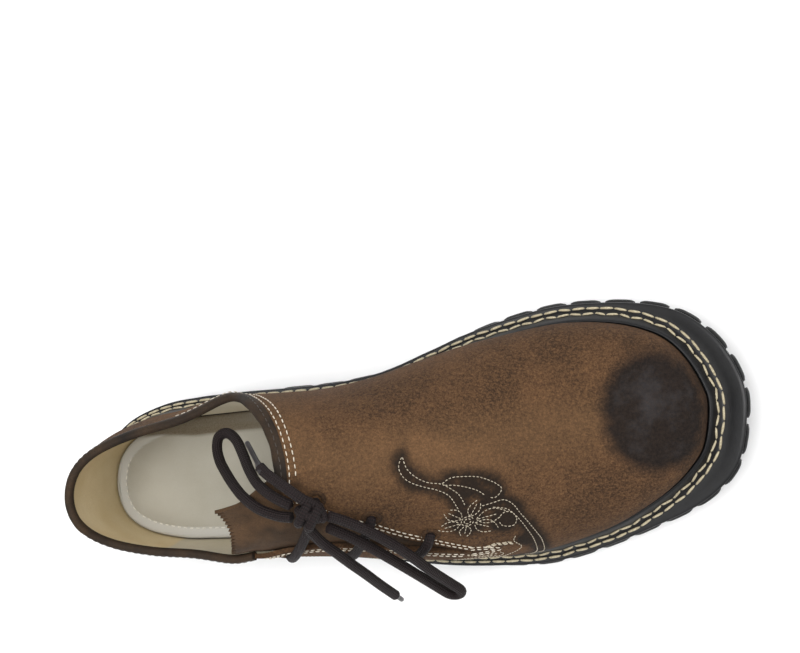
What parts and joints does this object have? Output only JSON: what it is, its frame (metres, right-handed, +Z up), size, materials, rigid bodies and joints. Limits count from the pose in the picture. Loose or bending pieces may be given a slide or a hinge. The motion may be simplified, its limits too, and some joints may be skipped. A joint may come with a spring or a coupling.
{
  "type": "side-laced country shoe",
  "caption": "Right side-laced country shoe of brown nubuck with stitched alpine ornament, storm welt, lugged rubber sole and round laces tied in a bow.",
  "frame": {"origin": "Centre of the bounding box of the shoe without its free laces, on the floor under the sole.", "axes": "+X to the toe, +Y to the medial side of this right shoe, +Z up."},
  "size_m": [0.2996, 0.1206, 0.1179],
  "materials": {
    "nubuck": "matt brushed brown leather with dark burnished places",
    "binding": "smooth dark brown strip",
    "suede": "napped suede",
    "lining": "pale lining leather",
    "insole_cover": "matt off-white",
    "welt_rubber": "satin dark grey",
    "midsole_rubber": "matt grey-brown",
    "sole_rubber": "matt black rubber",
    "thread": "cream waxed thread",
    "lace": "round braided cord",
    "aglet": "smooth dark plastic"
  },
  "bodies": {
    "root": {"outsole": "sole_rubber", "midsole": "midsole_rubber", "welt": "welt_rubber", "insole": "insole_cover", "upper": "nubuck", "back_stay": "nubuck", "tongue": "suede", "collar_binding": "binding", "lace_bar_1": "lace", "lace_bar_2": "lace", "lace_bar_3": "lace", "lace_knot": "lace", "lace_loop_back": "lace", "lace_end_back": "lace", "lace_loop_front": "lace", "lace_end_front": "lace"}
  },
  "joints": []
}
